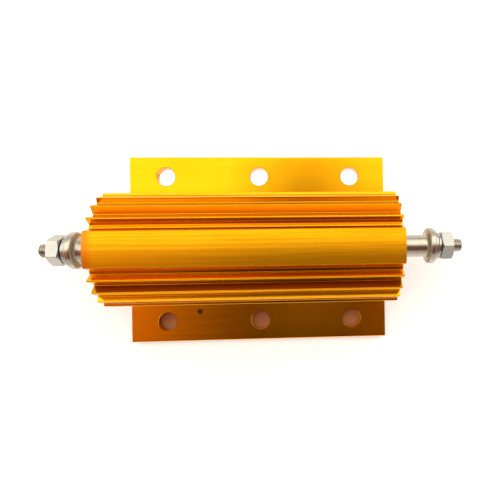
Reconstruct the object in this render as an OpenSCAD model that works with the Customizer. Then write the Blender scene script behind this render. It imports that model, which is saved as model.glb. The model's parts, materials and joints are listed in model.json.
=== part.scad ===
// Aluminium housed power resistor with threaded stud terminals.
// X runs along the studs, Y across the flanges, +Z up from the mounting face.
// The origin is the middle of the mounting face.

/* [Housing section] */
// Length of the extruded housing
housing_l = 99.8; // [80:0.2:130]
// Width over both mounting flanges
flange_w = 72.5; // [68:0.5:80]
// Thickness of the mounting flanges
flange_t = 4; // [3:0.25:5]
// Height of the stud axis above the mounting face
axis_z = 21.7; // [20.5:0.1:24]
// Radius of the crown about the stud axis
crown_r = 20.2; // [19.4:0.1:21]
// Half the angle that the crown spans
crown_half_deg = 16.3; // [14:0.1:18]
// Radius of the fin tips about the stud axis
fin_r = 19.8; // [18.8:0.1:20.4]
// Radius of the groove floors about the stud axis
groove_r = 16.8; // [16:0.1:17.4]
// Angle from the vertical to the first fin
fin_start_deg = 28.8; // [27:0.1:30]
// Angle from one fin to the next
fin_pitch_deg = 15; // [14.5:0.1:15.6]
// Width of a fin's flat tip
fin_tip_w = 0.55; // [0.4:0.05:0.8]
// Draft of the fins' outer flanks from the vertical
fin_draft_deg = 13; // [9:0.5:15]
// Fillet where the side walls meet the flanges
foot_fillet = 1.5; // [1:0.1:2.5]
// Rounding of the flanges' long edges
flange_round = 0.6; // [0.3:0.1:1]
// Diameter of the bore that holds the element
bore_d = 26; // [24:0.5:28]

/* [Mounting holes] */
// Number of holes along each flange
hole_count = 3; // [2:1:4]
// Distance from the last holes to the housing's end faces
hole_end = 13.7; // [8:0.1:20]
// Distance between the two rows of holes
hole_gauge = 57; // [54:0.1:60]
// Diameter of the mounting holes
hole_d = 7.2; // [5:0.1:8]

/* [Element] */
// Distance that the element and its terminals sit to the right of the housing's middle
element_shift = 0.8; // [-1.5:0.05:1.5]
// Depth of the end caps below the housing's end faces, with the element in the middle
cap_depth = 9.7; // [8.5:0.1:14]
// Diameter of the ceramic core
core_d = 14.4; // [12:0.2:16]
// Length of core that each end cap grips
cap_grip = 8; // [5:0.5:10]
// Wall of the end caps
cap_wall = 0.8; // [0.5:0.1:1.2]
// Floor of the end caps
cap_floor = 1.2; // [0.8:0.1:2]
// Diameter of the resistance wire
wire_d = 0.8; // [0.5:0.1:1]
// Number of turns of resistance wire
wire_turns = 22; // [12:1:26]
// Clearance round the resistance wire
wire_gap = 0.04; // [0.02:0.01:0.1]
// Length of each end cap that the wire overlaps
wire_overlap = 2; // [1:0.5:4]
// Thickness of the end seals
seal_t = 5; // [3:0.5:6]
// Depth of the end seals below the housing's end faces
seal_recess = 0.8; // [0:0.1:2]

/* [Terminals] */
// Diameter of the terminal posts
post_d = 8; // [6:0.1:9]
// Distance from the housing's end faces to the collars, with the element in the middle
post_reach = 11.2; // [8:0.1:14]
// Diameter of the collar
collar_d = 13; // [12:0.1:15]
// Thickness of the collar
collar_t = 2.3; // [2:0.1:4]
// Rounding of the collar's rim
collar_round = 0.9; // [0.4:0.1:1.1]
// Fillet between post and collar
post_fillet = 1.1; // [0.5:0.1:1.5]
// Outer diameter of the stud's thread
stud_d = 4.8; // [4:0.1:5]
// Depth from the stud's outside to the thread's pitch line, where nut and stud meet
thread_depth = 0.25; // [0.2:0.05:0.35]
// Length of stud that stands out of the nut
stud_free = 3.8; // [2:0.1:8]
// Chamfer at the end of the stud
stud_chamfer = 0.4; // [0.2:0.1:0.8]

/* [Hardware] */
// Outer diameter of the flat washers
flat_d = 11.4; // [10:0.1:12.5]
// Thickness of the flat washers
flat_t = 1; // [0.8:0.1:1.6]
// Clearance of the flat washers round the stud
flat_gap = 0.25; // [0.1:0.05:0.5]
// Outer diameter of the spring washers
spring_d = 9.2; // [8:0.1:9.5]
// Clearance of the spring washers round the stud
spring_gap = 0.15; // [0.1:0.05:0.4]
// Thickness of the spring washers' section
spring_t = 0.9; // [0.7:0.05:1.5]
// Height that the spring washers still spring open
spring_rise = 0.55; // [0.2:0.05:0.9]
// Angle of the split in the spring washers
spring_split_deg = 9; // [6:1:20]
// Slant of the split across the spring washers' section
spring_slant_deg = 14; // [0:1:20]
// Width across the nuts' flats
nut_af = 9.5; // [8.5:0.1:10.5]
// Thickness of the nuts
nut_t = 4.3; // [3.5:0.1:5.5]
// Step from the nuts' flats in to their chamfered end faces
nut_face_step = 0.15; // [0.05:0.05:0.4]
// Angle of the nuts' corner chamfers
nut_chamfer_deg = 30; // [20:5:35]
// Countersink at each end of the nuts' thread
nut_sink = 0.4; // [0.2:0.1:0.6]

/* [Hidden] */

$fn = 96;
// Overrun of cutting shapes past the faces they cut
cut = 1;

half_l = housing_l / 2;
half_w = flange_w / 2;
hole_pitch = (housing_l - 2 * hole_end) / (hole_count - 1);

// Fins on each side: those with drafted outer flanks above, level ones below
drafted_fins = 4;
side_fins = 2;
fin_lean_deg = 1.2;
fin_tip_deg = fin_tip_w / fin_r * 180 / PI;
side_groove_depth = 1.9;
side_groove_deg = [9.3, 5.2];
foot_y = fin_r - 1.5;
arc_step_deg = 2;

// Stations along the stud axis, from the middle outwards
cap_end_x = half_l - cap_depth;
core_end_x = cap_end_x - cap_floor;
grip_x = core_end_x - cap_grip;
seal_out_x = half_l - seal_recess;
seal_in_x = seal_out_x - seal_t;
collar_in_x = half_l + post_reach;
collar_out_x = collar_in_x + collar_t;
flat_out_x = collar_out_x + flat_t;
spring_out_x = flat_out_x + spring_t + spring_rise;
nut_out_x = spring_out_x + nut_t;
stud_end_x = nut_out_x + stud_free;

// Helix of the winding
wire_steps = 16;
wire_sides = 5;

// Radii about the stud axis; the wire's flat steps still clear the core
grip_r = core_d / 2 - cap_wall;
wire_path_r = (core_d / 2 + wire_gap) / cos(180 / wire_steps) + wire_d / 2;
wire_out_r = wire_path_r + wire_d / 2 + wire_gap;
wire_half_l = grip_x + wire_overlap;
stud_r = stud_d / 2;
thread_r = stud_r - thread_depth;

// Helix of the spring washers
spring_steps = 40;

// Finish colours
gold = [0.90, 0.58, 0.08];
steel = [0.74, 0.72, 0.68];
stone = [0.86, 0.83, 0.76];
wire_tone = [0.45, 0.40, 0.36];
cement = [0.72, 0.68, 0.60];
silicone = [0.78, 0.76, 0.70];

// Point at radius r and angle a from the vertical, about the stud axis
function polar(r, a) = [r * sin(a), axis_z + r * cos(a)];

// Distance down a drafted flank from p to the circle of radius r
function to_circle(p, r) = let(
        z = p[1] - axis_z,
        b = p[0] * sin(fin_draft_deg) - z * cos(fin_draft_deg),
        c = p[0] * p[0] + z * z - r * r,
        d = b * b - c)
    d > 0 ? -b - sqrt(d) : 1000;

// Distance down a drafted flank from p to the ray at angle a
function to_ray(p, a) =
    ((p[1] - axis_z) * sin(a) - p[0] * cos(a)) / sin(a + fin_draft_deg);

// Foot of the drafted flank that starts at p, before the fin at angle a
function flank_foot(p, a) = let(t = min(to_circle(p, groove_r), to_ray(p, a)))
    p + t * [sin(fin_draft_deg), -cos(fin_draft_deg)];

// Points of an arc about the stud axis
function arc(r, a0, a1) = let(n = max(1, ceil(abs(a1 - a0) / arc_step_deg)))
    [for (i = [0 : n]) polar(r, a0 + (a1 - a0) * i / n)];

// Angle of a point about the stud axis, from the vertical
function angle_of(p) = atan2(p[0], p[1] - axis_z);

function fin_deg(k) = fin_start_deg + k * fin_pitch_deg;

// Corner of the crown, or outer tip corner of fin k - 1, where the flank above fin k starts
function flank_top(k) =
    k == 0 ? polar(crown_r, crown_half_deg) : polar(fin_r, fin_deg(k - 1) + fin_tip_deg);

// Groove floor and tip of drafted fin k
function drafted_fin(k) = let(
        root_deg = fin_deg(k) - fin_lean_deg,
        foot = flank_foot(flank_top(k), root_deg),
        foot_deg = angle_of(foot))
    concat(foot_deg < root_deg - 0.1 ? arc(groove_r, foot_deg, root_deg) : [foot],
        [polar(fin_r, fin_deg(k)), polar(fin_r, fin_deg(k) + fin_tip_deg)]);

// Shallow groove and level side fin k
function side_fin(k) = let(a = fin_deg(k))
    concat([for (d = side_groove_deg) polar(fin_r - side_groove_depth, a - d)],
        [polar(fin_r, a), polar(fin_r, a + fin_tip_deg)]);

last_fin = drafted_fins + side_fins - 1;

// One half of the housing's section, from above the crown down to its base
half_section = concat(
    [[0, axis_z + crown_r + cut], flank_top(0) + cut * [-sin(fin_draft_deg), cos(fin_draft_deg)]],
    [for (k = [0 : drafted_fins - 1]) each drafted_fin(k)],
    [for (k = [drafted_fins : last_fin]) each side_fin(k)],
    [polar(fin_r - side_groove_depth, fin_deg(last_fin) + fin_tip_deg + side_groove_deg[1])],
    [for (a = [180 : 15 : 270])
        [foot_y + foot_fillet * (1 + cos(a)), flange_t + foot_fillet * (1 + sin(a))]],
    [for (a = [90 : -30 : 0])
        [half_w - flange_round * (1 - cos(a)), flange_t - flange_round * (1 - sin(a))]],
    [for (a = [0 : -30 : -90])
        [half_w - flange_round * (1 - cos(a)), flange_round * (1 + sin(a))]]);

// Turns a profile drawn as [distance along X, radius] about the stud axis
module turned(profile) {
    translate([0, 0, axis_z])
        rotate([0, 90, 0])
            rotate_extrude()
                polygon([for (p = profile) [p[1], p[0]]]);
}

// A cylinder along the stud axis from x0 to x1
module rod(r, x0, x1) {
    translate([x0, 0, axis_z])
        rotate([0, 90, 0])
            cylinder(r = r, h = x1 - x0);
}

// Places its children at the right end as drawn, or turned about Z to the left end
module at_end(side) {
    rotate([0, 0, side == "left" ? 180 : 0])
        children();
}

// Moves its children with the element to where it sits in the housing
module with_element() {
    translate([element_shift, 0, 0])
        children();
}

// Finned section with its flanges, with the crown rounded about the stud axis
module housing_section() {
    corner = flank_top(0);
    difference() {
        polygon(concat(half_section,
            [for (i = [len(half_section) - 1 : -1 : 1]) [-half_section[i][0], half_section[i][1]]]));
        difference() {
            translate([-corner[0] - cut, corner[1] - cut])
                square([2 * (corner[0] + cut), crown_r]);
            translate([0, axis_z])
                circle(r = crown_r);
        }
    }
}

module housing() {
    color(gold)
        difference() {
            translate([-half_l, 0, 0])
                rotate([90, 0, 90])
                    linear_extrude(height = housing_l)
                        housing_section();
            rod(bore_d / 2, -half_l - cut, half_l + cut);
            for (i = [0 : hole_count - 1], y = [-hole_gauge / 2, hole_gauge / 2])
                translate([(i - (hole_count - 1) / 2) * hole_pitch, y, -cut])
                    cylinder(d = hole_d, h = flange_t + 2 * cut);
        }
}

module ceramic_core() {
    color(stone)
        with_element()
            turned([[-core_end_x, 0], [-core_end_x, grip_r], [-grip_x, grip_r], [-grip_x, core_d / 2],
                [grip_x, core_d / 2], [grip_x, grip_r], [core_end_x, grip_r], [core_end_x, 0]]);
}

// Ring of points round the wire at step i of its helix
function wire_ring(i) = let(
        a = 360 * i / wire_steps,
        x = -wire_half_l + wire_d / 2 + (2 * wire_half_l - wire_d) * i / (wire_turns * wire_steps))
    [for (j = [0 : wire_sides - 1]) let(
            b = 360 * j / wire_sides,
            r = wire_path_r + wire_d / 2 * cos(b))
        [x + wire_d / 2 * sin(b), r * cos(a), axis_z + r * sin(a)]];

// Side faces of a swept ring of n points, over m steps, with flat ends
function sweep_faces(n, m) = concat(
    [[for (j = [0 : n - 1]) j]],
    [for (i = [0 : m - 1], j = [0 : n - 1])
        let(k = (j + 1) % n, a = i * n, b = a + n)
            each [[a + j, b + j, b + k], [a + j, b + k, a + k]]],
    [[for (j = [n - 1 : -1 : 0]) m * n + j]]);

module resistance_winding() {
    m = wire_turns * wire_steps;
    color(wire_tone)
        with_element()
            polyhedron(points = [for (i = [0 : m]) each wire_ring(i)],
                faces = sweep_faces(wire_sides, m));
}

module cement_fill() {
    color(cement)
        difference() {
            rod(bore_d / 2, -seal_in_x, seal_in_x);
            rod(post_d / 2, -seal_in_x - cut, seal_in_x + cut);
            with_element()
                rod(core_d / 2, -cap_end_x, cap_end_x);
            with_element()
                rod(wire_out_r, -wire_half_l, wire_half_l);
        }
}

module end_cap(side) {
    color(steel)
        with_element()
            at_end(side)
                turned([[grip_x, grip_r], [grip_x, core_d / 2], [cap_end_x, core_d / 2], [cap_end_x, 0],
                    [core_end_x, 0], [core_end_x, grip_r]]);
}

module end_seal(side) {
    color(silicone)
        at_end(side)
            turned([[seal_in_x, post_d / 2], [seal_in_x, bore_d / 2],
                [seal_out_x, bore_d / 2], [seal_out_x, post_d / 2]]);
}

// Post, collar and threaded stud, turned from one bar
module terminal(side) {
    post_r = post_d / 2;
    collar_r = collar_d / 2;
    rim_r = collar_round / 2;
    color(steel)
        with_element()
            at_end(side)
                turned(concat(
                    [[cap_end_x, 0], [cap_end_x, post_r]],
                    [for (a = [270 : 15 : 360])
                        [collar_in_x - post_fillet * (1 - cos(a)), post_r + post_fillet * (1 + sin(a))]],
                    [for (a = [180 : -15 : 90])
                        [collar_in_x + collar_round * (1 + cos(a)), collar_r - collar_round * (1 - sin(a))]],
                    [for (a = [90 : -15 : 0])
                        [collar_out_x - rim_r * (1 - cos(a)), collar_r - rim_r * (1 - sin(a))]],
                    [[collar_out_x, stud_r], [spring_out_x, stud_r],
                     [spring_out_x, thread_r], [nut_out_x, thread_r],
                     [nut_out_x, stud_r], [stud_end_x - stud_chamfer, stud_r],
                     [stud_end_x, stud_r - stud_chamfer], [stud_end_x, 0]]));
}

module flat_washer(side) {
    bevel = flat_t / 6;
    flat_bore = stud_d + 2 * flat_gap;
    color(steel)
        with_element()
            at_end(side)
                turned([[collar_out_x, flat_bore / 2], [collar_out_x, flat_d / 2 - bevel],
                    [collar_out_x + bevel, flat_d / 2], [flat_out_x - bevel, flat_d / 2],
                    [flat_out_x, flat_d / 2 - bevel], [flat_out_x, flat_bore / 2]]);
}

// Ring of four points across the spring washer at step i of its turn from the split at angle at.
// The turn is a left-hand helix that starts at the raised end, as a right-hand thread needs.
function spring_ring(i, at) = let(
        span = 360 - spring_split_deg,
        start = at + spring_split_deg / 2 + span * i / spring_steps,
        x = flat_out_x + spring_rise * (1 - i / spring_steps),
        in_r = stud_r + spring_gap,
        out_r = spring_d / 2)
    [for (c = [[in_r, 0], [out_r, 0], [out_r, 1], [in_r, 1]])
        let(a = start + spring_slant_deg * (0.5 - c[1]))
        [x + c[1] * spring_t, c[0] * cos(a), axis_z + c[0] * sin(a)]];

module spring_washer(side, at) {
    color(steel)
        with_element()
            at_end(side)
                polyhedron(points = [for (i = [0 : spring_steps]) each spring_ring(i, at)],
                    faces = sweep_faces(4, spring_steps));
}

// Hexagon nut; turn is the angle of a corner from the vertical
module hex_nut(side, turn) {
    color(steel)
        with_element()
            at_end(side)
                translate([0, 0, axis_z])
                    rotate([turn, 0, 0])
                        translate([0, 0, -axis_z])
                            nut_body();
}

// The nut at the right end, with a corner straight up
module nut_body() {
    corner_r = nut_af / 2 / cos(30);
    face_r = nut_af / 2 - nut_face_step;
    mouth_r = thread_r + nut_sink;
    drop = (corner_r - face_r) * tan(nut_chamfer_deg);
    difference() {
        intersection() {
            translate([spring_out_x, 0, axis_z])
                rotate([0, 90, 0])
                    cylinder(r = corner_r, h = nut_t, $fn = 6);
            turned([[spring_out_x, 0], [spring_out_x, face_r], [spring_out_x + drop, corner_r],
                [nut_out_x - drop, corner_r], [nut_out_x, face_r], [nut_out_x, 0]]);
        }
        rod(thread_r, spring_out_x - cut, nut_out_x + cut);
        turned([[spring_out_x, 0], [spring_out_x, mouth_r],
            [spring_out_x + nut_sink, thread_r], [spring_out_x + nut_sink, 0]]);
        turned([[nut_out_x, 0], [nut_out_x, mouth_r],
            [nut_out_x - nut_sink, thread_r], [nut_out_x - nut_sink, 0]]);
    }
}

housing();
ceramic_core();
resistance_winding();
cement_fill();
end_cap("left");  // end_cap_left
end_cap("right");  // end_cap_right
end_seal("left");  // end_seal_left
end_seal("right");  // end_seal_right
terminal("left");  // terminal_left
terminal("right");  // terminal_right
flat_washer("left");  // flat_washer_left
flat_washer("right");  // flat_washer_right
spring_washer("left", 200);  // spring_washer_left
spring_washer("right", 330);  // spring_washer_right
hex_nut("left", 37);  // hex_nut_left
hex_nut("right", 2);  // hex_nut_right
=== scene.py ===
"""Finishes and fine geometry of an aluminium housed power resistor.

The section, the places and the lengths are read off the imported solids, and other sizes are fields
here. Pieces that need finer geometry (softened extrusion corners, cut threads, rounded hardware) are
replaced, every piece gets a procedural finish, and the part gets a floor, a sky and a camera.
"""

import json
import logging
import math
from collections.abc import Callable, Sequence
from dataclasses import dataclass
from enum import Enum
from typing import ClassVar

import bmesh
import bpy
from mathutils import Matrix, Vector


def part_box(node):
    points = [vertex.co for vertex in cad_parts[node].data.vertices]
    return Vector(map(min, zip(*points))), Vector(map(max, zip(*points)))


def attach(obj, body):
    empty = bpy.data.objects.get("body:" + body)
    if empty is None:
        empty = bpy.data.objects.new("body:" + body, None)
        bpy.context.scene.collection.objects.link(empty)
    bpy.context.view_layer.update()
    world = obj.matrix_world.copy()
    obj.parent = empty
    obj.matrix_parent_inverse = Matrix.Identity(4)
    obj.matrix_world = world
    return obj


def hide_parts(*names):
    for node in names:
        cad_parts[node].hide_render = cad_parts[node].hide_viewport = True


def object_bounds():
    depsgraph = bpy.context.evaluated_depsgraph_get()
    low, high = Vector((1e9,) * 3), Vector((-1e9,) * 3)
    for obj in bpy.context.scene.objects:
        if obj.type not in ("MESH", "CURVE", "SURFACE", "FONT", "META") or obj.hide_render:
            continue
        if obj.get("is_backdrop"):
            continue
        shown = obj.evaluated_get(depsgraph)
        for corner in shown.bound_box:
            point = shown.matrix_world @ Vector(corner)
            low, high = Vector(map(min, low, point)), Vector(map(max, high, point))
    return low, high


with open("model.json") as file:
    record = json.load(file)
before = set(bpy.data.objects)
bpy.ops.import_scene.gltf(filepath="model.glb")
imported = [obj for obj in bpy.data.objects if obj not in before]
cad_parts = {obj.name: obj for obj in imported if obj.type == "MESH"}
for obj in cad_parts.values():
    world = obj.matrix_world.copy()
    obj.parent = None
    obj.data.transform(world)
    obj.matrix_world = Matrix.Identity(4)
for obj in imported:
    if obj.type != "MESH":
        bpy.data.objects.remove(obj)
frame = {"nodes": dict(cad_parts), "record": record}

log = logging.getLogger("power_resistor")

MM = 0.001
BODY = "root"
WELD = 1e-6

Point2 = tuple[float, float]
Point3 = tuple[float, float, float]
Colour = tuple[float, float, float]
Ring = list[Point3]
Piece = bpy.types.Object
Node = bpy.types.Node
Socket = bpy.types.NodeSocket
Sockets = bpy.types.NodeOutputs


class End(Enum):
    """The two ends of the part along X."""

    LEFT = -1
    RIGHT = 1

    @property
    def suffix(self) -> str:
        """The word that the end's piece names finish with."""
        return self.name.lower()


# ---- Mesh helpers ----


def full_turn(count: int) -> list[float]:
    """Evenly spaced angles of one turn, in radians."""
    return [2 * math.pi * i / count for i in range(count)]


class Forge:
    """Makes closed meshes out of rings of points."""

    @staticmethod
    def link(name: str, data: bpy.types.ID) -> Piece:
        """Puts a mesh or a camera into the scene as an object at the origin."""
        obj = bpy.data.objects.new(name, data)
        bpy.context.scene.collection.objects.link(obj)
        return obj

    @staticmethod
    def piece(name: str, points: Sequence[Point3], faces: Sequence[Sequence[int]]) -> Piece:
        """Makes an object at the origin from points and faces.

        Args:
            name: The piece's name.
            points: The mesh's points, in metres.
            faces: Indices of each face's points.

        Returns:
            The new object, linked to the scene.
        """
        mesh = bpy.data.meshes.new(name)
        mesh.from_pydata(points, [], faces)
        return Forge.link(name, mesh)

    @staticmethod
    def skin(name: str, rings: Sequence[Ring], joined: bool = False) -> Piece:
        """Makes a closed mesh from rings that have as many points each.

        Args:
            name: The piece's name.
            rings: Rings of points, each linked to the next.
            joined: Whether the last ring links to the first, as on a washer.

        Returns:
            The new object.
        """
        count = len(rings[0])
        points = [p for ring in rings for p in ring]
        faces = []
        last = len(rings) if joined else len(rings) - 1
        for i in range(last):
            a, b = i * count, (i + 1) % len(rings) * count
            for j in range(count):
                k = (j + 1) % count
                faces.append([a + j, b + j, b + k, a + k])
        if not joined:
            faces.append(list(range(count)))
            faces.append([(len(rings) - 1) * count + j for j in reversed(range(count))])
        return Forge.piece(name, points, faces)

    @staticmethod
    def orient(obj: Piece) -> None:
        """Turns all faces of a closed mesh outwards."""
        work = bmesh.new()
        work.from_mesh(obj.data)
        bmesh.ops.recalc_face_normals(work, faces=work.faces)
        work.to_mesh(obj.data)
        work.free()

    @staticmethod
    def smooth(obj: Piece, sharp_deg: float = 32.0) -> None:
        """Shades a piece smooth between its sharp edges and keeps its flat faces flat.

        Args:
            obj: The piece.
            sharp_deg: The angle between faces above which an edge stays sharp.
        """
        for polygon in obj.data.polygons:
            polygon.use_smooth = True
        obj.data.set_sharp_from_angle(angle=math.radians(sharp_deg))
        normals = obj.modifiers.new("face_weighted_normals", "WEIGHTED_NORMAL")
        normals.keep_sharp = True
        normals.weight = 80


@dataclass(frozen=True)
class Axis:
    """The stud axis, which every turned piece shares, and the element's middle on it."""

    height: float
    middle: float

    def place(self, end: End, x: float) -> float:
        """The place on X of a point at a distance from the element's middle towards an end."""
        return self.middle + end.value * x

    def span(self, node: str, end: End) -> Point2:
        """Distances of a solid's near and far faces from the element's middle, towards its end."""
        low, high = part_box(node)
        near, far = sorted(end.value * (x - self.middle) for x in (low.x, high.x))
        return near, far

    def ring(self, x: float, radius: Callable[[float], float], angles: Sequence[float]) -> Ring:
        """Makes a ring of points about the axis, at angles from the vertical in radians."""
        at = ((a, radius(a)) for a in angles)
        return [(x, r * math.sin(a), self.height + r * math.cos(a)) for a, r in at]


def quarter(centre: Point2, radius: float, start_deg: float, end_deg: float, steps: int) -> list[Point2]:
    """Points of an arc in a profile, from one angle to another, both ends included."""
    angles = (math.radians(start_deg + (end_deg - start_deg) * i / steps) for i in range(steps + 1))
    return [(centre[0] + radius * math.cos(a), centre[1] + radius * math.sin(a)) for a in angles]


# ---- Shader helpers ----


class Graph:
    """Adds nodes to a material's or a node group's tree."""

    def __init__(self, tree: bpy.types.NodeTree) -> None:
        """Keeps the tree that nodes go into."""
        self.tree = tree

    def add(self, kind: str, **settings: object) -> Node:
        """Adds a node and sets its properties.

        Args:
            kind: The node's type, such as ShaderNodeMath.
            **settings: Properties of the node.

        Returns:
            The new node.
        """
        node = self.tree.nodes.new(kind)
        for key, value in settings.items():
            setattr(node, key, value)
        return node

    def feed(self, socket: Socket, value: object) -> None:
        """Links a socket to another one, or sets its value, with full alpha for a colour."""
        if isinstance(value, Socket):
            self.tree.links.new(value, socket)
        else:
            socket.default_value = (*value, 1.0) if socket.type == "RGBA" else value

    def fill(self, node: Node, **inputs: object) -> Node:
        """Feeds a node's inputs by name, with _ for spaces, and returns the node."""
        for key, value in inputs.items():
            self.feed(node.inputs[key.replace("_", " ")], value)
        return node

    def math(self, operation: str, a: object, b: object = 0.0, clamp: bool = False) -> Socket:
        """Adds a Math node on two values and returns its output."""
        node = self.add("ShaderNodeMath", operation=operation, use_clamp=clamp)
        self.feed(node.inputs[0], a)
        self.feed(node.inputs[1], b)
        return node.outputs[0]

    def plus(self, a: object, b: object) -> Socket:
        """Adds two values."""
        return self.math("ADD", a, b)

    def minus(self, a: object, b: object) -> Socket:
        """Takes the second value from the first."""
        return self.math("SUBTRACT", a, b)

    def times(self, a: object, b: object) -> Socket:
        """Multiplies two values."""
        return self.math("MULTIPLY", a, b)

    def vector(self, operation: str, a: object, b: object = (0.0, 0.0, 0.0)) -> Socket:
        """Adds a Vector Math node on two vectors and returns its output."""
        node = self.add("ShaderNodeVectorMath", operation=operation)
        self.feed(node.inputs[0], a)
        self.feed(node.inputs[1], b)
        return node.outputs["Value" if operation in ("LENGTH", "DISTANCE") else "Vector"]

    def split(self, vector: object) -> Sockets:
        """Takes a vector apart and returns its X, Y and Z sockets, by name."""
        return self.fill(self.add("ShaderNodeSeparateXYZ"), Vector=vector).outputs

    def join(self, x: object, y: object = 0.0, z: object = 0.0) -> Socket:
        """Makes a vector of three values."""
        return self.fill(self.add("ShaderNodeCombineXYZ"), X=x, Y=y, Z=z).outputs["Vector"]

    def span(self, value: object, low: float, high: float, bottom: float = 0.0, top: float = 1.0) -> Socket:
        """Maps a value smoothly from one range to another, clamped, and returns the output."""
        node = self.add("ShaderNodeMapRange", interpolation_type="SMOOTHSTEP")
        self.fill(node, Value=value, From_Min=low, From_Max=high, To_Min=bottom, To_Max=top)
        return node.outputs["Result"]

    def blend(self, factor: object, a: object, b: object) -> Socket:
        """Mixes two colours by a factor and returns the colour."""
        node = self.add("ShaderNodeMix", data_type="RGBA")
        return self.fill(node, Factor=factor, A=a, B=b).outputs["Result"]

    def noise(self, vector: object, scale: object, detail: float, roughness: float) -> Socket:
        """Adds a noise texture and returns its value."""
        node = self.add("ShaderNodeTexNoise")
        return self.fill(node, Vector=vector, Scale=scale, Detail=detail, Roughness=roughness).outputs["Fac"]

    def place(self) -> Socket:
        """The place on the piece, in metres in the part's frame."""
        return self.add("ShaderNodeTexCoord").outputs["Object"]

    def group(self, effect: "type[Effect]", **inputs: object) -> Sockets:
        """Places an effect's node group, feeds its inputs by name and returns its outputs."""
        return self.fill(self.add("ShaderNodeGroup", node_tree=effect().tree()), **inputs).outputs


class Effect:
    """Base of the effects that several finishes share, each a node group built once."""

    title = ""
    inputs: dict[str, float | Point3] = {}
    outputs: tuple[str, ...] = ()

    def tree(self) -> bpy.types.NodeTree:
        """Returns the effect's node group, building it the first time."""
        found = bpy.data.node_groups.get(self.title)
        if found:
            return found
        group = bpy.data.node_groups.new(self.title, "ShaderNodeTree")
        for name, value in self.inputs.items():
            kind = "NodeSocketVector" if isinstance(value, tuple) else "NodeSocketFloat"
            socket = group.interface.new_socket(name=name, in_out="INPUT", socket_type=kind)
            socket.default_value = value
        for name in self.outputs:
            group.interface.new_socket(name=name, in_out="OUTPUT", socket_type="NodeSocketFloat")
        graph = Graph(group)
        entry, leave = graph.add("NodeGroupInput").outputs, graph.add("NodeGroupOutput").inputs
        for name, value in zip(self.outputs, self.build(graph, entry)):
            graph.feed(leave[name], value)
        return group

    def build(self, graph: Graph, entry: Sockets) -> Sequence[Socket]:
        """Adds the effect's nodes and returns a socket for each of its outputs, in order."""
        raise NotImplementedError


class DieLines(Effect):
    """Fine lines that the extrusion die leaves along the length."""

    title = "die_lines"
    inputs = {"Fineness": 900.0, "Stretch": 0.02}
    outputs = ("Lines", "Bands")
    broad_share = 0.22

    def build(self, graph: Graph, entry: Sockets) -> Sequence[Socket]:
        """Adds a fine and a broad noise, both drawn out along X."""
        along = graph.vector("MULTIPLY", graph.place(), graph.join(entry["Stretch"], 1.0, 1.0))
        broad = graph.times(entry["Fineness"], self.broad_share)
        return graph.noise(along, entry["Fineness"], 4.0, 0.65), graph.noise(along, broad, 2.0, 0.5)


class Clouds(Effect):
    """Slow change of tone over a surface."""

    title = "tone_clouds"
    inputs = {"Scale": 40.0}
    outputs = ("Tone",)
    octaves = (3.0, 0.5)

    def build(self, graph: Graph, entry: Sockets) -> Sequence[Socket]:
        """Adds one noise."""
        return [graph.noise(graph.place(), entry["Scale"], *self.octaves)]


class Grain(Clouds):
    """The fine, even texture of an etched, blasted or cast surface."""

    title = "fine_grain"
    inputs = {"Scale": 6000.0}
    outputs = ("Height",)
    octaves = (2.0, 0.6)


class ToolRings(Effect):
    """Rings that a lathe tool leaves round the stud axis, on faces and cylinders alike."""

    title = "tool_rings"
    inputs = {"Fineness": 5000.0, "Axis Height": 0.02}
    outputs = ("Rings",)

    def build(self, graph: Graph, entry: Sockets) -> Sequence[Socket]:
        """Adds a noise over the place along the axis and the distance from it."""
        at = graph.split(graph.place())
        height = graph.minus(at["Z"], entry["Axis Height"])
        square = graph.plus(graph.times(at["Y"], at["Y"]), graph.times(height, height))
        where = graph.join(at["X"], graph.math("SQRT", square))
        return [graph.noise(where, entry["Fineness"], 2.0, 0.6)]


class SawMarks(Effect):
    """Shallow arcs that a circular saw leaves on the ends of cut stock."""

    title = "saw_marks"
    inputs = {"Fineness": 2500.0}
    outputs = ("Marks", "End Face")
    saw_middle = (0.0, 0.16, 0.12)

    def build(self, graph: Graph, entry: Sockets) -> Sequence[Socket]:
        """Adds arcs about a far centre, and a mask of the faces that look along X."""
        arcs = graph.join(graph.vector("DISTANCE", graph.place(), self.saw_middle))
        facing = graph.split(graph.add("ShaderNodeTexCoord").outputs["Normal"])
        end_face = graph.span(graph.math("ABSOLUTE", facing["X"]), 0.85, 0.98)
        return graph.noise(arcs, entry["Fineness"], 3.0, 0.7), end_face


class Spot(Effect):
    """One ragged mark round a centre, such as a scuff or a nick."""

    title = "ragged_spot"
    inputs = {"Centre": (0.0, 0.0, 0.0), "Radius": 0.001, "Raggedness": 0.5}
    outputs = ("Mask",)
    fringe_scale = 2200.0

    def build(self, graph: Graph, entry: Sockets) -> Sequence[Socket]:
        """Adds a soft disc whose edge a noise breaks up."""
        away = graph.vector("DISTANCE", graph.place(), entry["Centre"])
        share = graph.math("DIVIDE", away, entry["Radius"])
        ragged = graph.minus(graph.noise(graph.place(), self.fringe_scale, 3.0, 0.6), 0.5)
        pushed = graph.plus(share, graph.times(ragged, entry["Raggedness"]))
        return [graph.span(pushed, 1.0, 0.6)]


class Window(Effect):
    """A soft-edged rectangle on two values, such as two angles of the sky."""

    title = "soft_window"
    inputs = {"Across": 0.0, "Along": 0.0, "Half Across": 0.5, "Half Along": 0.5, "Soft": 0.1}
    outputs = ("Mask",)

    def build(self, graph: Graph, entry: Sockets) -> Sequence[Socket]:
        """Adds the distance inside each pair of edges and multiplies the two."""
        sides = []
        for value in ("Across", "Along"):
            inside = graph.minus(entry[f"Half {value}"], graph.math("ABSOLUTE", entry[value]))
            sides.append(graph.span(graph.math("DIVIDE", inside, entry["Soft"]), -1.0, 1.0))
        return [graph.times(*sides)]


# ---- Finishes ----


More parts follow.
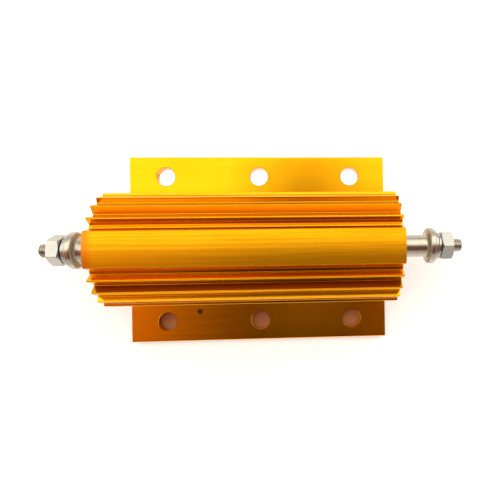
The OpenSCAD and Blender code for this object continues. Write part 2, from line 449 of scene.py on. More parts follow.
@dataclass(frozen=True)
class Finish:
    """Base of the finishes: a Principled material with its own surface nodes."""

    title: str

    def material(self) -> bpy.types.Material:
        """Returns the finish's material, building it the first time."""
        name = f"{self.title}_finish"
        found = bpy.data.materials.get(name)
        if found:
            return found
        made = bpy.data.materials.new(name)
        made.use_nodes = True
        self.surface(Graph(made.node_tree), made.node_tree.nodes["Principled BSDF"])
        return made

    def surface(self, graph: Graph, shader: Node) -> None:
        """Adds the finish's nodes and feeds the material's Principled shader."""
        raise NotImplementedError

    @staticmethod
    def relief(graph: Graph, height: object, depth: float, strength: float) -> Socket:
        """Makes a normal out of a height from 0 to 1, its depth in metres and how much of it shows."""
        bump = graph.add("ShaderNodeBump")
        return graph.fill(bump, Strength=strength, Distance=depth, Height=height).outputs["Normal"]


@dataclass(frozen=True)
class GoldAnodised(Finish):
    """Gold anodising on an etched extrusion, with painted shade in its grooves and on its cut ends."""

    light: Colour = (0.95, 0.45, 0.006)
    deep: Colour = (0.93, 0.39, 0.004)
    # painted shade colour for the grooves between the fins and under their overhangs
    valley: Colour = (0.54, 0.23, 0.006)
    end_band: Colour = (0.82, 0.25, 0.012)
    drawn: Colour = (0.66, 0.24, 0.004)
    # cut end colour: partly the duller saw cut, partly painted shade
    shaded_cut_end: Colour = (0.45, 0.21, 0.02)
    mark: Colour = (0.10, 0.045, 0.010)
    # occlusion distance of the painted groove shade
    valley_shade_reach: float = 4.0 * MM
    band_x: float = -51.0 * MM
    band_half: Point2 = (3.2 * MM, 9.0 * MM)
    band_soft: float = 1.7 * MM
    crown_height: float = 40.0 * MM
    crown_soft: float = 0.5 * MM
    crown_lines: float = 3.0
    crown_rough: float = 0.22
    flank_lines: float = 0.35
    rough: Point2 = (0.14, 0.18)
    saw_rough: float = 0.08
    brushed: float = 0.7
    depth: float = 0.03 * MM
    scuffs: tuple[tuple[Point3, float], ...] = ()

    def surface(self, graph: Graph, shader: Node) -> None:
        """Adds die lines, dye with painted shade in its grooves, saw-cut ends that painted shade darkens in
        part, and a sheen drawn along the length.
        """
        lines = graph.group(DieLines, Fineness=1500.0, Stretch=0.012)
        saw = graph.group(SawMarks, Fineness=2600.0)
        grain = graph.group(Grain, Scale=5200.0)
        at = graph.split(graph.place())
        crown = graph.span(at["Z"], self.crown_height - self.crown_soft, self.crown_height + self.crown_soft)

        rough = graph.span(lines["Lines"], 0.3, 0.75, *self.rough)
        rough = graph.plus(rough, graph.times(crown, self.crown_rough))
        rough = graph.plus(rough, graph.times(saw["End Face"], self.saw_rough))
        tangent = graph.add("ShaderNodeTangent", direction_type="RADIAL", axis="X").outputs["Tangent"]
        colour = self.marked(graph, self.dye_and_shade(graph, lines, at, crown), saw["End Face"])

        across = graph.times(lines["Lines"], graph.minus(1.0, saw["End Face"]))
        across = graph.times(across, graph.plus(graph.times(crown, self.crown_lines), self.flank_lines))
        cut = graph.times(saw["Marks"], saw["End Face"])
        height = graph.plus(graph.plus(across, cut), graph.times(grain["Height"], 0.3))
        graph.fill(shader, Base_Color=colour, Roughness=rough, Metallic=1.0, Anisotropic=self.brushed,
                   Tangent=tangent, Normal=self.relief(graph, height, self.depth, 0.5))

    def dye_and_shade(self, graph: Graph, lines: Sockets, at: Sockets, crown: Socket) -> Socket:
        """The dye's colour with painted shade in the grooves, where ambient occlusion is low, darker along
        the crown's drawn lines and in a band at the crown's left end.

        Args:
            graph: The material's graph.
            lines: The die lines' sockets.
            at: The place's sockets.
            crown: The crown's mask.

        Returns:
            The colour.
        """
        clouds = graph.group(Clouds, Scale=38.0)
        tone = graph.plus(graph.times(clouds["Tone"], 0.7), graph.times(lines["Bands"], 0.5))
        colour = graph.blend(graph.span(tone, 0.4, 0.85), self.deep, self.light)
        # painted shade: the colour turns darker brown where ambient occlusion finds grooves and overhangs
        occlusion_shade = graph.fill(graph.add("ShaderNodeAmbientOcclusion", samples=8), Distance=self.valley_shade_reach)
        colour = graph.blend(graph.span(occlusion_shade.outputs["AO"], 0.30, 0.80), self.valley, colour)
        drawn = graph.times(graph.span(lines["Lines"], 0.42, 0.62), crown)
        colour = graph.blend(graph.times(drawn, 0.5), colour, self.drawn)
        band = graph.group(Window, Across=graph.minus(at["X"], self.band_x), Along=at["Y"],
                           Half_Across=self.band_half[0], Half_Along=self.band_half[1], Soft=self.band_soft)
        return graph.blend(graph.times(band["Mask"], crown), colour, self.end_band)

    def marked(self, graph: Graph, colour: Socket, end_face: Socket) -> Socket:
        """The colour with the scuffs and with darker saw-cut ends, partly their duller cut and partly
        painted shade.
        """
        # painted shade on the cut end faces, on top of their duller cut
        colour = graph.blend(graph.times(end_face, 0.8), colour, self.shaded_cut_end)
        for centre, radius in self.scuffs:
            spot = graph.group(Spot, Centre=centre, Radius=radius, Raggedness=0.9)
            colour = graph.blend(graph.times(spot["Mask"], 0.85), colour, self.mark)
        return colour


@dataclass(frozen=True)
class TurnedMetal(Finish):
    """Plated or bright metal with the rings of a lathe tool."""

    base: Colour = (0.52, 0.48, 0.41)
    stain: Colour = (0.34, 0.29, 0.23)
    axis_height: float = 0.02
    rough: float = 0.26
    fineness: float = 4200.0
    depth: float = 0.02 * MM

    def surface(self, graph: Graph, shader: Node) -> None:
        """Adds tool rings and slight staining."""
        rings = graph.group(ToolRings, Fineness=self.fineness, Axis_Height=self.axis_height)["Rings"]
        tone = graph.group(Clouds, Scale=260.0)["Tone"]
        grain = graph.group(Grain, Scale=9000.0)["Height"]
        stained = graph.span(tone, 0.5, 0.8, 0.0, 0.45)
        rough = graph.plus(graph.times(rings, 0.10), self.rough - 0.05)
        height = graph.plus(rings, graph.times(grain, 0.3))
        graph.fill(shader, Base_Color=graph.blend(stained, self.base, self.stain),
                   Roughness=graph.plus(rough, graph.times(tone, 0.06)), Metallic=1.0,
                   Normal=self.relief(graph, height, self.depth, 0.4))


@dataclass(frozen=True)
class FiredClay(Finish):
    """Matt ceramic, cement or silicone: pale, fine grained and slightly mottled."""

    base: Colour = (0.74, 0.71, 0.64)
    dark: Colour = (0.60, 0.56, 0.48)
    rough: float = 0.6
    rough_spread: float = 0.08
    grain_scale: float = 3500.0
    depth: float = 0.04 * MM

    def surface(self, graph: Graph, shader: Node) -> None:
        """Adds mottling and grain."""
        tone = graph.group(Clouds, Scale=320.0)["Tone"]
        grain = graph.group(Grain, Scale=self.grain_scale)["Height"]
        mottled = graph.span(tone, 0.35, 0.75)
        smoothest, roughest = self.rough - self.rough_spread, self.rough + self.rough_spread
        graph.fill(shader, Base_Color=graph.blend(mottled, self.base, self.dark),
                   Roughness=graph.span(grain, 0.2, 0.8, smoothest, roughest),
                   Normal=self.relief(graph, grain, self.depth, 0.5))


# ---- Sub-assemblies ----


def coat(obj: Piece, finish: Finish) -> None:
    """Gives a piece its finish in place of any other material."""
    obj.data.materials.clear()
    obj.data.materials.append(finish.material())


def adopt(obj: Piece, finish: Finish, slot: str, *nodes: str) -> Piece:
    """Dresses a new piece and lets it stand for its solids.

    Args:
        obj: The new piece.
        finish: Its finish.
        slot: The record's material slot; not used.
        *nodes: The solids that it stands for.

    Returns:
        The piece.
    """
    coat(obj, finish)
    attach(obj, BODY)
    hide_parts(*nodes)
    log.info("%s: %d faces, %s, for %s", obj.name, len(obj.data.polygons), finish.title, ", ".join(nodes))
    return obj


def dress(node: str, finish: Finish) -> None:
    """Gives a solid that stays as it is its finish."""
    coat(frame["nodes"][node], finish)
    log.info("%s: the solid as packed, %s", node, finish.title)


@dataclass
class FinnedHousing:
    """The extrusion, swept from its own section with every corner slightly rounded."""

    finish: Finish
    tip_round: float = 0.17 * MM
    root_round: float = 0.30 * MM
    end_round: float = 0.14 * MM
    corner_turn_deg: float = 14.0
    reach_share: float = 0.45
    bevel_share: float = 0.3
    arc_steps: int = 4
    hole_segments: int = 64
    hole_chamfer: float = 0.35 * MM
    cutter_over: float = 1.0 * MM
    rim_width: float = 2.0 * MM
    node: str = "housing"

    def build(self) -> Piece:
        """Sweeps the softened section, cuts its holes and dresses it."""
        outer, bores = self.outline()
        obj = self.sweep(self.soften(outer), bores)
        self.drill(obj)
        Forge.smooth(obj)
        return adopt(obj, self.finish, "gold_anodised_aluminium", self.node)

    def end_work(self) -> bmesh.types.BMesh:
        """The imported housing's right end face by itself, with its points merged."""
        work = bmesh.new()
        work.from_mesh(frame["nodes"][self.node].data)
        bmesh.ops.remove_doubles(work, verts=work.verts, dist=WELD)
        work.normal_update()
        far = max(v.co.x for v in work.verts)
        rest = [f for f in work.faces if any(abs(v.co.x - far) > WELD for v in f.verts)]
        bmesh.ops.delete(work, geom=rest, context="FACES")
        return work

    def outline(self) -> tuple[list[Point2], list[list[Point2]]]:
        """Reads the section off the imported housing's end face.

        Returns:
            The outer outline and the outlines of its bores, as (y, z) points.
        """
        work = self.end_work()
        edges = {e for e in work.edges if len(e.link_faces) == 1}
        loops: list[list[Point2]] = []
        while edges:
            start, here = edges.pop().verts
            loop = [start, here]
            while here is not start:
                onward = next(e for e in here.link_edges if e in edges)
                edges.remove(onward)
                here = onward.other_vert(here)
                loop.append(here)
            loops.append([(v.co.y, v.co.z) for v in loop[:-1]])
        work.free()
        loops.sort(key=lambda loop: -abs(self.area(loop)))
        wound = [loop if self.area(loop) > 0 else loop[::-1] for loop in loops]
        return wound[0], wound[1:]

    @staticmethod
    def area(loop: Sequence[Point2]) -> float:
        """Signed area of an outline, positive where it runs anticlockwise."""
        pairs = zip(loop, [*loop[1:], loop[0]])
        return sum(a[0] * b[1] - b[0] * a[1] for a, b in pairs) / 2

    def soften(self, loop: Sequence[Point2]) -> list[Point2]:
        """Rounds each corner of an outline.

        Args:
            loop: The outline's points, anticlockwise.

        Returns:
            The outline with an arc in place of each corner.
        """
        out = []
        count = len(loop)
        for i, corner in enumerate(loop):
            here = Vector(corner)
            back = Vector(loop[i - 1]) - here
            onward = Vector(loop[(i + 1) % count]) - here
            turn = math.pi - back.angle(onward)
            if math.degrees(turn) < self.corner_turn_deg:
                out.append(corner)
                continue
            convex = back.x * onward.y - back.y * onward.x < 0
            radius = self.tip_round if convex else self.root_round
            room = self.reach_share * min(back.length, onward.length)
            reach = min(radius * math.tan(turn / 2), room)
            radius = reach / math.tan(turn / 2)
            inwards = (back.normalized() + onward.normalized()).normalized()
            middle = here + inwards * radius / math.cos(turn / 2)
            spoke = here + back.normalized() * reach - middle
            sweep = turn if convex else -turn
            for step in range(self.arc_steps + 1):
                a = sweep * step / self.arc_steps
                out.append((
                    middle.x + spoke.x * math.cos(a) - spoke.y * math.sin(a),
                    middle.y + spoke.x * math.sin(a) + spoke.y * math.cos(a),
                ))
        return out

    @staticmethod
    def inset(loop: Sequence[Point2], by: float) -> list[Point2]:
        """Moves each point of an anticlockwise outline inwards by a small distance."""
        out = []
        count = len(loop)
        for i, corner in enumerate(loop):
            back = (Vector(corner) - Vector(loop[i - 1])).normalized()
            onward = (Vector(loop[(i + 1) % count]) - Vector(corner)).normalized()
            along = (back + onward).normalized()
            scale = by / max(0.5, along.dot(back))
            out.append((corner[0] - along.y * scale, corner[1] + along.x * scale))
        return out

    def sweep(self, outer: Sequence[Point2], bores: Sequence[Sequence[Point2]]) -> Piece:
        """Sweeps the section along the length, with rounded end edges.

        Args:
            outer: The outer outline.
            bores: Outlines of the bores.

        Returns:
            The housing without its mounting holes.
        """
        low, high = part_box(self.node)
        r = self.end_round
        part = self.bevel_share * r
        stations = [(low.x, r), (low.x + part, part), (low.x + r, 0.0),
                    (high.x - r, 0.0), (high.x - part, part), (high.x, r)]
        work = bmesh.new()
        rims: dict[float, list[bmesh.types.BMEdge]] = {low.x: [], high.x: []}
        for loop, sign in [(outer, 1.0), *((b, -1.0) for b in bores)]:
            rings = []
            for x, by in stations:
                shape = self.inset(loop, sign * by)
                rings.append([work.verts.new((x, y, z)) for y, z in shape])
            count = len(loop)
            for a, b in zip(rings, rings[1:]):
                for j in range(count):
                    k = (j + 1) % count
                    work.faces.new((a[j], b[j], b[k], a[k]))
            for x, ring in ((low.x, rings[0]), (high.x, rings[-1])):
                rims[x] += [work.edges.get((ring[j], ring[(j + 1) % count])) for j in range(count)]
        for edges in rims.values():
            bmesh.ops.triangle_fill(work, edges=edges, use_beauty=True, use_dissolve=False)
        bmesh.ops.recalc_face_normals(work, faces=work.faces)
        mesh = bpy.data.meshes.new("finned_housing")
        work.to_mesh(mesh)
        work.free()
        return Forge.link("finned_housing", mesh)

    @staticmethod
    def patterns() -> list[dict[str, float]]:
        """Dimensions of the record's bolt patterns."""
        return [mount["dims"] for mount in frame["record"]["mounts"] if mount["kind"] == "bolt_pattern"]

    def holes(self) -> list[Point2]:
        """Centres of the mounting holes."""
        centres = []
        for dims in self.patterns():
            half_x = dims.get("spacing_x_mm", 0.0) / 2 * MM
            half_y = dims.get("spacing_y_mm", 0.0) / 2 * MM
            centres += [(x, y) for x in {-half_x, half_x} for y in {-half_y, half_y}]
        return sorted(centres)

    def drill(self, obj: Piece) -> None:
        """Cuts the mounting holes with slightly broken edges.

        Args:
            obj: The swept housing.
        """
        radius = self.patterns()[0]["hole_r_mm"] * MM
        top = self.flange_top()
        over = self.cutter_over
        break_r = self.hole_chamfer * 0.5
        wide = radius + break_r
        profile = [(-over, wide + over), (0.0, wide), (break_r, radius), (top - break_r, radius),
                   (top, wide), (top + over, wide + over)]
        points, faces = [], []
        n = self.hole_segments
        for cx, cy in self.holes():
            base = len(points)
            for z, r in profile:
                points += [(cx + r * math.cos(a), cy + r * math.sin(a), z) for a in full_turn(n)]
            for a in range(base, base + (len(profile) - 1) * n, n):
                faces += [[a + j, a + (j + 1) % n, a + n + (j + 1) % n, a + n + j] for j in range(n)]
            faces.append([base + j for j in reversed(range(n))])
            faces.append([base + (len(profile) - 1) * n + j for j in range(n)])
        drill = Forge.piece("hole_cutter", points, faces)
        cut = obj.modifiers.new("mounting_holes", "BOOLEAN")
        cut.operation = "DIFFERENCE"
        cut.solver = "EXACT"
        cut.object = drill
        settle(obj)
        bpy.data.objects.remove(drill)

    def flange_top(self) -> float:
        """Height of the flanges' upper faces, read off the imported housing."""
        _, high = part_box(self.node)
        work = self.end_work()
        top = max(v.co.z for v in work.verts if abs(v.co.y) > high.y - self.rim_width)
        work.free()
        return top


def settle(obj: Piece) -> None:
    """Applies a piece's modifiers to its mesh."""
    bpy.context.view_layer.update()
    graph = bpy.context.evaluated_depsgraph_get()
    mesh = bpy.data.meshes.new_from_object(obj.evaluated_get(graph))
    old = obj.data
    obj.modifiers.clear()
    obj.data = mesh
    mesh.name = obj.name
    bpy.data.meshes.remove(old)


@dataclass
class StudPiece:
    """Base of the pieces about the stud axis, of which each end has one."""

    end: End
    axis: Axis
    finish: Finish

    solid: ClassVar[str] = ""
    title: ClassVar[str] = ""
    material_slot: ClassVar[str] = "stainless_hardware"
    sharp_deg: ClassVar[float] = 40.0

    @property
    def node(self) -> str:
        """The solid that the piece stands for."""
        return f"{self.solid}_{self.end.suffix}"

    def span(self) -> Point2:
        """Distances of the solid's near and far faces from the element's middle."""
        return self.axis.span(self.node, self.end)

    def rim(self) -> float:
        """The solid's outer radius."""
        low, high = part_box(self.node)
        return (high.y - low.y) / 2

    def ring(self, x: float, radius: Callable[[float], float], angles: Sequence[float]) -> Ring:
        """A ring at a distance from the element's middle, whose radius depends on the angle."""
        return self.axis.ring(self.axis.place(self.end, x), radius, angles)

    def turned(self, profile: Sequence[Point2], angles: Sequence[float]) -> list[Ring]:
        """Round rings for a profile of (distance from the element's middle, radius)."""
        return [self.ring(x, lambda _, r=r: r, angles) for x, r in profile]

    def finished(self, rings: Sequence[Ring], joined: bool = False) -> Piece:
        """Makes the piece from its rings, shades it and dresses it.

        Args:
            rings: The rings, in the order in which they link.
            joined: Whether the last ring links to the first.

        Returns:
            The piece.
        """
        obj = Forge.skin(f"{self.title}_{self.end.suffix}", rings, joined)
        Forge.orient(obj)
        Forge.smooth(obj, self.sharp_deg)
        return adopt(obj, self.finish, self.material_slot, self.node)


@dataclass
class StudTerminal(StudPiece):
    """Post, collar and threaded stud, turned from one bar, with its thread cut."""

    post_r: float = 4.0 * MM
    collar_r: float = 6.5 * MM
    collar_t: float = 2.3 * MM
    rim_round: float = 0.9 * MM
    rear_round: float = 0.45 * MM
    fillet: float = 1.1 * MM
    stud_r: float = 2.4 * MM
    pitch: float = 0.794 * MM
    thread_depth: float = 0.42 * MM
    crest_share: float = 0.16
    chamfer: float = 0.55 * MM
    chamfer_slope: float = 1.2
    step: float = 0.045 * MM
    segments: int = 72

    solid = "terminal"
    title = "stud_terminal"
    material_slot = "nickel_plated_steel"
    sharp_deg = 50.0

    def build(self) -> Piece:
        """Builds the terminal's skin, one ring at a time, and dresses it."""
        start, reach = self.span()
        face, _ = self.axis.span(f"flat_washer_{self.end.suffix}", self.end)
        angles = full_turn(self.segments)
        rings = self.turned(self.body(start, face), angles)
        count = round((reach - face) / self.step)
        for i in range(count + 1):
            x = face + (reach - face) * i / count
            rings.append(self.ring(x, lambda a, x=x: self.thread(x, a, face, reach), angles))
        return self.finished(rings)

    def body(self, start: float, face: float) -> list[Point2]:
        """Profile of the post and the collar, as (distance from the element's middle, radius).

        Args:
            start: Distance of the post's inner end.
            face: Distance of the collar's outer face.

        Returns:
            The profile's points, outwards.
        """
        near = face - self.collar_t
        fillet = quarter((near - self.fillet, self.post_r + self.fillet), self.fillet, 270, 360, 8)
        front = quarter((near + self.rim_round, self.collar_r - self.rim_round), self.rim_round, 180, 90, 8)
        rear = quarter((face - self.rear_round, self.collar_r - self.rear_round), self.rear_round, 90, 0, 6)
        return [(start, self.post_r), *fillet, *front, *rear]

    def thread(self, x: float, angle: float, face: float, reach: float) -> float:
        """Radius of the threaded stud.

        Args:
            x: Distance from the element's middle.
            angle: Angle about the axis.
            face: Distance of the collar's outer face.
            reach: Distance of the stud's end.

        Returns:
            The radius there, with the thread run out at the collar and chamfered at the end.
        """
        phase = (x / self.pitch + self.end.value * angle / (2 * math.pi)) % 1.0
        flank = abs(2 * phase - 1)
        groove = min(1.0, max(0.0, (flank - self.crest_share) / (1 - 2 * self.crest_share)))
        run_out = min(1.0, (x - face) / (2 * self.pitch))
        radius = self.stud_r - self.thread_depth * groove * run_out
        return min(radius, self.stud_r - self.chamfer + (reach - x) * self.chamfer_slope)


@dataclass
class FlatWasher(StudPiece):
    """A stamped washer: one rolled edge, one sharper edge."""

    rolled: float = 0.32 * MM
    sharp: float = 0.10 * MM
    bore_r: float = 2.65 * MM
    segments: int = 128

    solid = "flat_washer"
    title = "plain_washer"

    def build(self) -> Piece:
        """Turns the washer's section and dresses it."""
        rim = self.rim()
        inner, outer = self.span()
        profile = [
            (inner, self.bore_r + self.sharp),
            *quarter((inner + self.sharp, rim - self.sharp), self.sharp, 180, 90, 3),
            *quarter((outer - self.rolled, rim - self.rolled), self.rolled, 90, 0, 6),
            (outer, self.bore_r + self.sharp),
            (outer - self.sharp, self.bore_r),
            (inner + self.sharp, self.bore_r),
        ]
        return self.finished(self.turned(profile, full_turn(self.segments)), joined=True)


@dataclass
class SpringWasher(StudPiece):
    """A split spring washer, coiled one turn from rounded wire stock."""

    split_at_deg: float
    bore_r: float = 2.55 * MM
    rim_r: float = 4.6 * MM
    thickness: float = 0.9 * MM
    split_deg: float = 9.0
    slant_deg: float = 14.0
    corner: float = 0.16 * MM
    steps: int = 120
    corner_steps: int = 3

    solid = "spring_washer"
    title = "lock_washer"

    def build(self) -> Piece:
        """Coils the washer's section, from the raised side of the split, and dresses it."""
        inner, outer = self.span()
        rise = outer - inner - self.thickness
        section = self.section()
        rings = []
        for i in range(self.steps + 1):
            turn = self.split_at_deg + self.split_deg / 2 + (360 - self.split_deg) * i / self.steps
            x = inner + rise * (1 - i / self.steps)
            rings.append([self.point(x + along, r, turn, along) for along, r in section])
        return self.finished(rings)

    def section(self) -> list[Point2]:
        """The rounded section, as (distance along the axis, radius)."""
        near, far = self.corner, self.thickness - self.corner
        low, high = self.bore_r + self.corner, self.rim_r - self.corner
        out: list[Point2] = []
        for middle, start in (((near, low), 180), ((near, high), 90), ((far, high), 0), ((far, low), -90)):
            out += quarter(middle, self.corner, start + 90, start, self.corner_steps)
        return out

    def point(self, x: float, r: float, turn: float, along: float) -> Point3:
        """A point of the section at an angle round the stud.

        Args:
            x: Distance from the element's middle.
            r: Distance from the stud axis.
            turn: Angle from the Y axis, in degrees, as seen from the right end.
            along: Distance across the washer's thickness, which slants the split.

        Returns:
            The point, turned about the vertical for the left end.
        """
        a = math.radians(turn + self.slant_deg * (0.5 - along / self.thickness))
        y = self.end.value * r * math.cos(a)
        return (self.axis.place(self.end, x), y, self.axis.height + r * math.sin(a))


@dataclass
class HexNut(StudPiece):
    """A hexagon nut with chamfered corners and rounded edges."""

    corner_at_deg: float
    across_flats: float = 9.5 * MM
    face_step: float = 0.15 * MM
    chamfer_deg: float = 30.0
    bore_r: float = 2.15 * MM
    sink: float = 0.4 * MM
    edge_round: float = 0.07 * MM
    fine_step: float = 0.04 * MM
    fine_rings: int = 16

    solid = "hex_nut"
    title = "nut"
    sharp_deg = 24.0

    def build(self) -> Piece:
        """Builds the nut's skin from rings about the stud and dresses it."""
        inner, outer = self.span()
        angles = self.angles()
        face_r = self.across_flats / 2 - self.face_step
        rings = []
        for x in self.stations(inner, outer):
            cone_r = face_r + self.cone(x, inner, outer)
            rings.append(self.ring(x, lambda a, cone_r=cone_r: self.outside(a, cone_r), angles))
        bore = [(outer, self.bore_r + self.sink), (outer - self.sink, self.bore_r),
                (inner + self.sink, self.bore_r), (inner, self.bore_r + self.sink)]
        return self.finished([*rings, *self.turned(bore, angles)], joined=True)

    def angles(self) -> list[float]:
        """Angles round the nut, closer together at its corners."""
        near = (0.0, 0.4, 0.9, 1.5, 2.3, 3.5, 5.5, 9.0, 14.0, 20.0, 25.0)
        sector = [*near, 30.0, *(60.0 - a for a in reversed(near[1:]))]
        return [math.radians(self.corner_at_deg + 60 * k + a) for k in range(6) for a in sector]

    def stations(self, inner: float, outer: float) -> list[float]:
        """Places of the rings along the axis, closer together at the chamfers."""
        ends = [self.fine_step * i for i in range(self.fine_rings)]
        return [*(inner + e for e in ends), (inner + outer) / 2, *(outer - e for e in reversed(ends))]

    def cone(self, x: float, inner: float, outer: float) -> float:
        """How far the chamfer cones stand out from the end faces' edge at a place."""
        return min(x - inner, outer - x) / math.tan(math.radians(self.chamfer_deg))

    def outside(self, angle: float, cone_r: float) -> float:
        """Radius of the nut's outside: the nearest flat, or the chamfer cone if that is closer."""
        turn = (angle - math.radians(self.corner_at_deg)) % math.radians(60)
        radius, *others = (self.across_flats / 2 / math.cos(turn - math.radians(m)) for m in (30, -30, 90))
        for other in (*others, cone_r):
            radius = self.soft_min(radius, other)
        return radius

    def soft_min(self, a: float, b: float) -> float:
        """The smaller of two radii, rounded where they meet."""
        h = max(self.edge_round - abs(a - b), 0.0) / self.edge_round
        return min(a, b) - h * h * self.edge_round / 4


@dataclass
class EndSeal(StudPiece):
    """Silicone that closes the housing round a post and climbs a little at both edges."""

    post_r: float = 4.0 * MM
    creep_out: float = 0.35 * MM
    creep_in: float = 0.45 * MM
    width: float = 1.6 * MM
    segments: int = 96
    steps: int = 16

    solid = "end_seal"
    title = "silicone_seal"
    material_slot = "pale_silicone"
    sharp_deg = 50.0

    def build(self) -> Piece:
        """Turns the seal with its hollowed face and dresses it."""
        rim = self.rim()
        inner, outer = self.span()
        face = []
        for i in range(self.steps + 1):
            r = self.post_r + (rim - self.post_r) * i / self.steps
            climb = self.creep_in * math.exp(-(r - self.post_r) / self.width)
            climb += self.creep_out * math.exp(-(rim - r) / self.width)
            face.append((outer - self.creep_in + climb, r))
        profile = [(inner, self.post_r), *face, (inner, rim)]
        return self.finished(self.turned(profile, full_turn(self.segments)), joined=True)


@dataclass
class WoundElement:
    """The wound core, its caps and the cement round it, all sealed inside the housing."""

    ceramic: Finish
    wire: Finish
    steel: Finish
    cement: Finish

    def build(self) -> None:
        """Gives the inner solids their finishes."""
        dress("ceramic_core", self.ceramic)
        dress("resistance_winding", self.wire)
        dress("cement_fill", self.cement)
        for end in End:
            dress(f"end_cap_{end.suffix}", self.steel)


# ---- Studio ----


@dataclass(frozen=True)
class Panel:
    """A lit or dark panel of the studio, painted into the sky between angles from the zenith.

    Across is the lean towards +Y and along the lean towards +X, both in degrees. Skew is how far
    the panel's place across moves with each degree along.
    """

    across: Point2
    along: Point2
    soft: float
    colour: Colour
    skew: float = 0.0

    def paint(self, graph: Graph, sky: object, across: object, along: object) -> Socket:
        """Paints the panel over the sky.

        Args:
            graph: The world's graph.
            sky: The sky's colour so far.
            across: The direction's lean towards +Y, in radians.
            along: The direction's lean towards +X, in radians.

        Returns:
            The sky's colour with the panel.
        """
        low, high = (math.radians(a) for a in self.across)
        left, right = (math.radians(a) for a in self.along)
        leaned = graph.minus(across, graph.times(along, self.skew))
        window = graph.group(
            Window,
            Across=graph.minus(leaned, (low + high) / 2),
            Along=graph.minus(along, (left + right) / 2),
            Half_Across=(high - low) / 2,
            Half_Along=(right - left) / 2,
            Soft=math.radians(self.soft),
        )
        return graph.blend(window["Mask"], sky, self.colour)


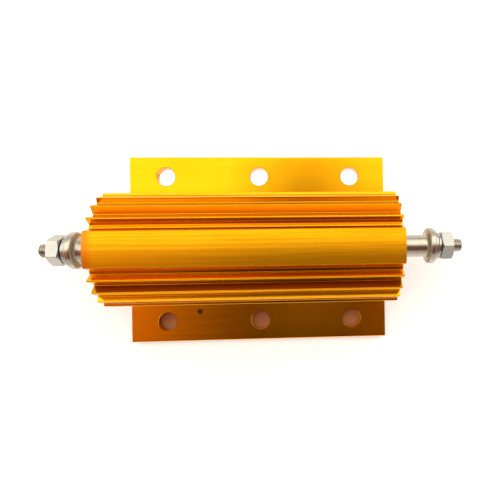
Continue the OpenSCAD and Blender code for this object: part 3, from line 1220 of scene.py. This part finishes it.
@dataclass
class Studio:
    """Floor, sky with its panels, and camera."""

    floor_half: float = 3.0
    floor_near: Colour = (0.95, 0.95, 0.95)
    # the far colour is painted falloff of the light, reached over the distances below
    floor_far_shade: Colour = (0.60, 0.60, 0.60)
    floor_falloff: Point2 = (0.16, 0.40)
    floor_lift: float = 0.35
    hole_row_y: float = 28.5 * MM
    strip_half: Point2 = (5.5 * MM, 45.0 * MM)
    strip_soft: float = 0.5 * MM
    # painted shadow colour for the floor behind the -Y holes
    hole_shadow_colour: Colour = (0.63, 0.32, 0.16)
    # painted light: emission lift for the floor strip behind the +Y holes
    hole_light_lift: float = 0.85
    horizon: Colour = (0.80, 0.78, 0.74)
    camera_at: Point3 = (16.8 * MM, -0.9 * MM, 174.3 * MM)
    camera_turn_deg: Point3 = (0.04, -3.47, -0.81)
    lens_mm: float = 30.59
    shift: Point2 = (-0.1556, -0.001)
    panels: tuple[Panel, ...] = (
        Panel((-57.0, 4.0), (-52.0, 52.0), 7.0, (0.21, 0.08, 0.04)),
        Panel((-38.0, 4.0), (-48.0, -17.0), 5.0, (0.58, 0.20, 0.08)),
        Panel((-38.0, 4.0), (-8.5, 8.0), 6.0, (0.012, 0.002, 0.001)),
        Panel((4.5, 60.0), (-60.0, 60.0), 3.0, (2.05, 2.00, 1.80), 0.2),
        Panel((-10.0, 12.0), (-5.0, 6.0), 6.0, (0.30, 0.18, 0.08)),
    )

    def build(self) -> None:
        """Builds the studio's parts."""
        self.floor()
        self.sky()
        self.camera()
        bpy.context.scene.view_settings.view_transform = "Standard"
        log.info("studio: floor, sky with %d panels, and camera", len(self.panels))

    def floor(self) -> None:
        """Lays the pale floor under the part.

        The lift brightens it for the camera, mirrors and glass alone: near the part, fading further out,
        and more in the strip behind the +Y holes, as painted light. The strip behind the -Y holes gets a
        painted shadow: a dark brown colour and no lift. Away from the part the colour also darkens, as
        painted falloff of the light.
        """
        h = self.floor_half
        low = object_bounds()[0][2]
        points = [(-h, -h, low), (h, -h, low), (h, h, low), (-h, h, low)]
        obj = Forge.piece("studio_floor", points, [[0, 1, 2, 3]])
        made = bpy.data.materials.new("floor_with_painted_light")
        made.use_nodes = True
        graph = Graph(made.node_tree)
        # painted falloff: away from the part the floor's colour darkens and its lift fades
        far = graph.span(graph.vector("LENGTH", graph.place()), *self.floor_falloff)
        # masks of the floor strips behind the holes: painted light behind the +Y holes, painted shadow
        # behind the -Y holes
        lit_hole_strip, shaded_hole_strip = self.under_flange(graph, 1.0), self.under_flange(graph, -1.0)
        paper_and_falloff = graph.blend(far, self.floor_near, self.floor_far_shade)
        rays = graph.add("ShaderNodeLightPath").outputs
        seen = graph.plus(rays["Is Camera Ray"], rays["Is Glossy Ray"])
        seen = graph.math("ADD", seen, rays["Is Transmission Ray"], clamp=True)
        # painted light: more lift behind the +Y holes; the lift near the part fades away from it
        lift = graph.plus(graph.times(graph.minus(1.0, far), self.floor_lift),
                          graph.times(lit_hole_strip, self.hole_light_lift - self.floor_lift))
        lift = graph.times(lift, graph.minus(1.0, shaded_hole_strip))
        graph.fill(
            made.node_tree.nodes["Principled BSDF"],
            # painted shadow: the strip behind the -Y holes turns dark brown
            Base_Color=graph.blend(shaded_hole_strip, paper_and_falloff, self.hole_shadow_colour),
            Roughness=0.85,
            Specular_IOR_Level=0.1,
            Emission_Color=(1.0, 1.0, 1.0),
            Emission_Strength=graph.times(lift, seen),
        )
        obj.data.materials.append(made)
        obj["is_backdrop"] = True

    def under_flange(self, graph: Graph, side: float) -> Socket:
        """Masks the strip of floor that the holes of one flange show, with side 1 for +Y and -1 for -Y."""
        at = graph.split(graph.place())
        return graph.group(Window, Across=graph.minus(at["Y"], side * self.hole_row_y), Along=at["X"],
                           Half_Across=self.strip_half[0], Half_Along=self.strip_half[1],
                           Soft=self.strip_soft)["Mask"]

    def sky(self) -> None:
        """Paints the studio's panels into an even sky."""
        world = bpy.data.worlds.new("studio_sky")
        world.use_nodes = True
        bpy.context.scene.world = world
        graph = Graph(world.node_tree)
        towards = graph.split(graph.add("ShaderNodeTexCoord").outputs["Generated"])
        across = graph.math("ARCTAN2", towards["Y"], towards["Z"])
        along = graph.math("ARCSINE", towards["X"])
        sky: object = self.horizon
        for panel in self.panels:
            sky = panel.paint(graph, sky, across, along)
        graph.fill(world.node_tree.nodes["Background"], Color=sky, Strength=1.0)

    def camera(self) -> None:
        """Sets the camera above the part."""
        lens = bpy.data.cameras.new("camera")
        lens.lens = self.lens_mm
        lens.shift_x, lens.shift_y = self.shift
        lens.clip_start = 0.005
        obj = Forge.link("camera", lens)
        obj.location = self.camera_at
        obj.rotation_euler = [math.radians(a) for a in self.camera_turn_deg]
        bpy.context.scene.camera = obj


def main() -> None:
    """Builds every piece in order, then the studio."""
    logging.basicConfig(level=logging.INFO, format="%(name)s: %(message)s")
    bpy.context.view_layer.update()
    left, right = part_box("terminal_left")[0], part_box("terminal_right")[1]
    low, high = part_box("terminal_right")
    axis = Axis((low.z + high.z) / 2, (left.x + right.x) / 2)

    gold = GoldAnodised("gold_anodised_aluminium", scuffs=(
        ((-23.6 * MM, -24.6 * MM, 4.0 * MM), 1.3 * MM),
        ((-34.6 * MM, -20.6 * MM, 4.0 * MM), 0.45 * MM),
        ((-15.2 * MM, -16.9 * MM, 4.0 * MM), 0.35 * MM),
    ))
    nickel = TurnedMetal("nickel_plated_steel", axis_height=axis.height)
    stainless = TurnedMetal("stainless_hardware", base=(0.50, 0.49, 0.455), stain=(0.42, 0.40, 0.36),
                            axis_height=axis.height, rough=0.24, fineness=2600.0)
    silicone = FiredClay("pale_silicone")

    FinnedHousing(gold).build()
    for end in End:
        EndSeal(end, axis, silicone).build()
        StudTerminal(end, axis, nickel).build()
        FlatWasher(end, axis, stainless).build()
        SpringWasher(end, axis, stainless, 200.0 if end is End.LEFT else 330.0).build()
        HexNut(end, axis, stainless, 37.0 if end is End.LEFT else -2.0).build()
    WoundElement(
        ceramic=FiredClay("white_ceramic", base=(0.86, 0.83, 0.76), dark=(0.78, 0.74, 0.66), rough=0.45),
        wire=TurnedMetal("resistance_wire", base=(0.42, 0.38, 0.35), stain=(0.30, 0.26, 0.24),
                         axis_height=axis.height),
        steel=TurnedMetal("pressed_steel", base=(0.66, 0.65, 0.62), axis_height=axis.height),
        cement=FiredClay("grey_cement", base=(0.66, 0.63, 0.57), dark=(0.55, 0.52, 0.46), rough=0.8),
    ).build()
    Studio().build()


if __name__ == "__main__":
    main()
